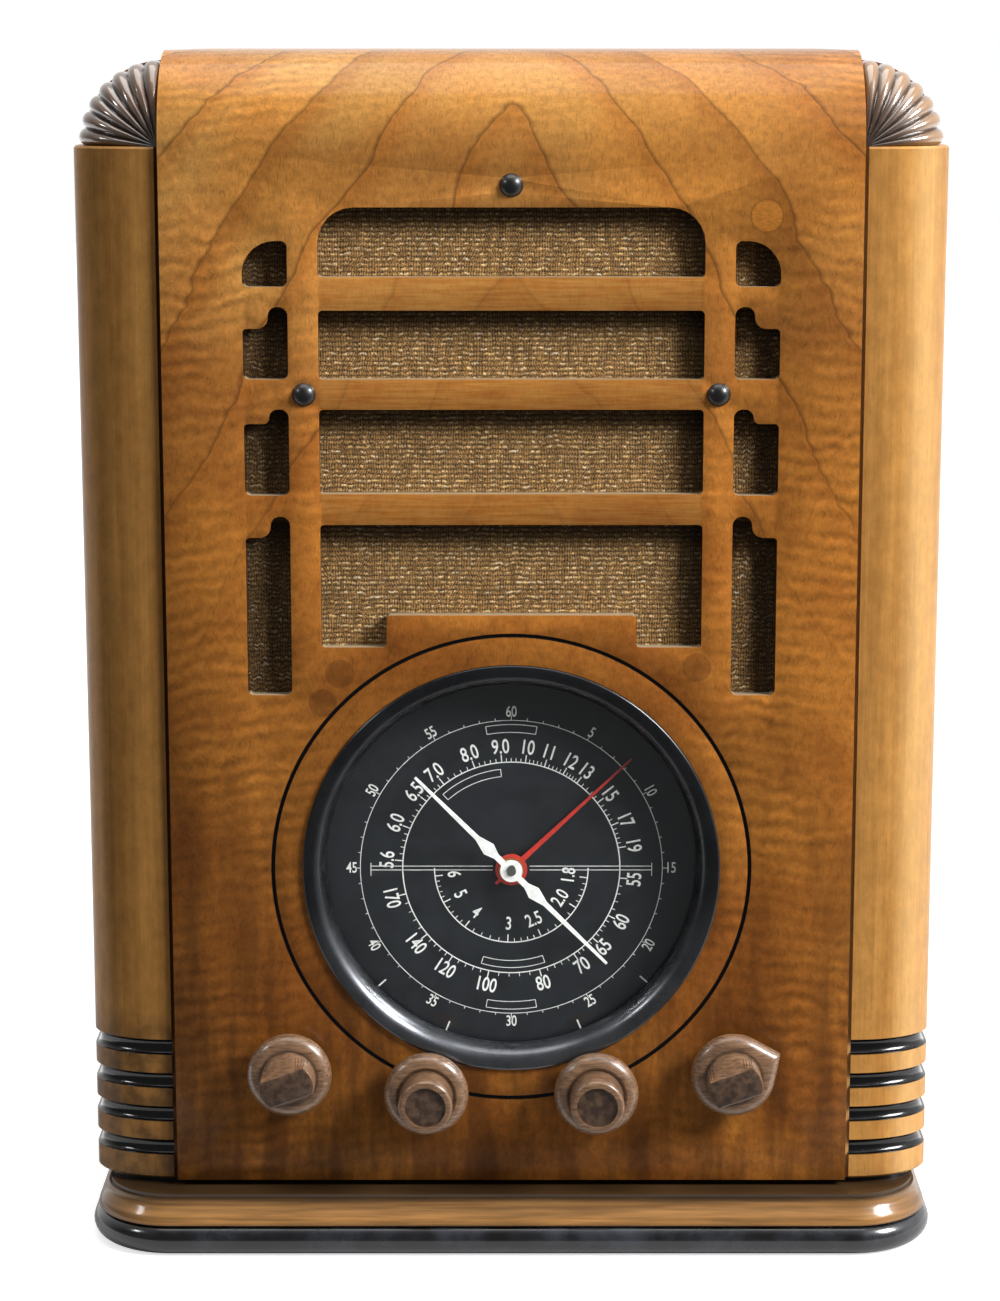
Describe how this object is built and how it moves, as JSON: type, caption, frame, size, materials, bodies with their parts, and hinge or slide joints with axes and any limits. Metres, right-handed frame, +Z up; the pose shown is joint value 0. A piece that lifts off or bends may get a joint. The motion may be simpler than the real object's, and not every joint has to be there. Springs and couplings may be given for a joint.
{
  "type": "tombstone radio",
  "caption": "Tombstone table radio: bent veneer front with fretwork grille, fan-carved corners, round dial with geared pointers, turned knobs and an open-backed chassis.",
  "frame": {"origin": "on the floor, under the middle of the whole object's box", "axes": "+Z up, the front panel and the knobs face -Y, +X to the right seen from the front"},
  "size_m": [0.322, 0.2402, 0.448],
  "materials": {
    "front_veneer": "glossy lacquer",
    "column_veneer": "glossy lacquer",
    "carved_walnut": "glossy lacquer",
    "side_veneer": "lacquer",
    "plinth_walnut": "glossy lacquer",
    "black_lacquer": "gloss black lacquer",
    "raw_board": "unfinished",
    "grille_cloth": "woven with metallic thread",
    "black_steel": "black enamel",
    "cone_paper": "felted paper",
    "bezel_metal": "dark bronzed, glossy",
    "dial_glass": "clear",
    "dial_print": "black with white print",
    "plated_steel": "cadmium plated",
    "lamp_glass": "clear bulb",
    "rubber": "matte",
    "brass": "turned",
    "aluminium": "bare",
    "bakelite": "moulded",
    "tube_glass": "clear, silvered top",
    "phenolic": "paper laminate",
    "knob_walnut": "satin lacquer",
    "pointer_white": "matte white",
    "pointer_red": "matte red"
  },
  "bodies": {
    "cabinet": {"base_board": "black_lacquer", "plinth_moulding": "plinth_walnut", "cabinet_floor": "black_lacquer", "front_panel": "front_veneer", "top_panel": "front_veneer", "side_left": "side_veneer", "side_right": "side_veneer", "column_left": "column_veneer", "column_right": "column_veneer", "fan_left": "carved_walnut", "fan_right": "carved_walnut", "edge_strips": "black_lacquer", "speaker_baffle": "raw_board", "grille_cloth": "grille_cloth", "speaker_bolts": "black_steel", "speaker_basket": "black_steel", "speaker_cone": "cone_paper", "speaker_magnet": "black_steel", "output_transformer": "black_steel", "dial_bezel": "bezel_metal", "dial_glass": "dial_glass", "dial_plate": "dial_print", "dial_housing": "plated_steel", "dial_bracket": "plated_steel", "pilot_lamps": "lamp_glass", "chassis_pan": "plated_steel", "rubber_mounts": "rubber", "chassis_bolts": "plated_steel", "power_transformer": "black_steel", "tube_sockets": "phenolic", "tube_bases": "bakelite", "glass_tubes": "tube_glass", "tube_shields": "aluminium", "chassis_cans": "aluminium", "condenser_frame": "plated_steel", "stator_plates": "aluminium", "tone_control": "phenolic", "volume_control": "phenolic", "band_switch": "phenolic", "tuning_bushing": "brass", "control_nuts": "plated_steel", "cord_grommet": "rubber", "terminal_strip": "phenolic", "drive_belt": "rubber"},
    "tone_body": {"tone_knob": "knob_walnut", "tone_shaft": "plated_steel"},
    "volume_body": {"volume_knob": "knob_walnut", "volume_shaft": "plated_steel"},
    "tuning_body": {"tuning_knob": "knob_walnut", "tuning_shaft": "plated_steel"},
    "band_body": {"band_knob": "knob_walnut", "band_shaft": "plated_steel"},
    "condenser_body": {"condenser_shaft": "plated_steel", "rotor_plates": "aluminium", "drive_drum": "aluminium", "main_gear": "brass", "main_pointer": "pointer_white"},
    "second_body": {"second_hand": "pointer_red", "second_sleeve": "brass"},
    "idler_body": {"idler_gear": "brass"}
  },
  "joints": [
    {"name": "tone_turn", "type": "hinge", "parent": "cabinet", "child": "tone_body", "pos_m": [-0.0834, -0.0959, 0.0695], "axis": [0, 1, 0], "range_deg": [-150, 150]},
    {"name": "volume_turn", "type": "hinge", "parent": "cabinet", "child": "volume_body", "pos_m": [-0.032, -0.0959, 0.062], "axis": [0, 1, 0], "range_deg": [0, 300]},
    {"name": "band_turn", "type": "hinge", "parent": "cabinet", "child": "band_body", "pos_m": [0.0834, -0.0959, 0.0695], "axis": [0, 1, 0], "range_deg": [-30, 30]},
    {"name": "condenser_turn", "type": "hinge", "parent": "cabinet", "child": "condenser_body", "pos_m": [0, -0.0559, 0.1442], "axis": [0, 1, 0], "range_deg": [-45, 135]},
    {"name": "tuning_turn", "type": "hinge", "parent": "cabinet", "child": "tuning_body", "pos_m": [0.032, -0.0959, 0.062], "axis": [0, 1, 0], "range_deg": [-450, 1350]},
    {"name": "second_turn", "type": "hinge", "parent": "cabinet", "child": "second_body", "pos_m": [0, -0.0759, 0.1442], "axis": [0, 1, 0], "range_deg": [-540, 1620]},
    {"name": "idler_turn", "type": "hinge", "parent": "cabinet", "child": "idler_body", "pos_m": [-0.012, -0.0739, 0.16498], "axis": [0, 1, 0], "range_deg": [-540, 180]}
  ],
  "couplings": [
    {"joint": "tuning_turn", "follows": "condenser_turn", "ratio": 10},
    {"joint": "second_turn", "follows": "condenser_turn", "ratio": 12},
    {"joint": "idler_turn", "follows": "condenser_turn", "ratio": -4}
  ]
}
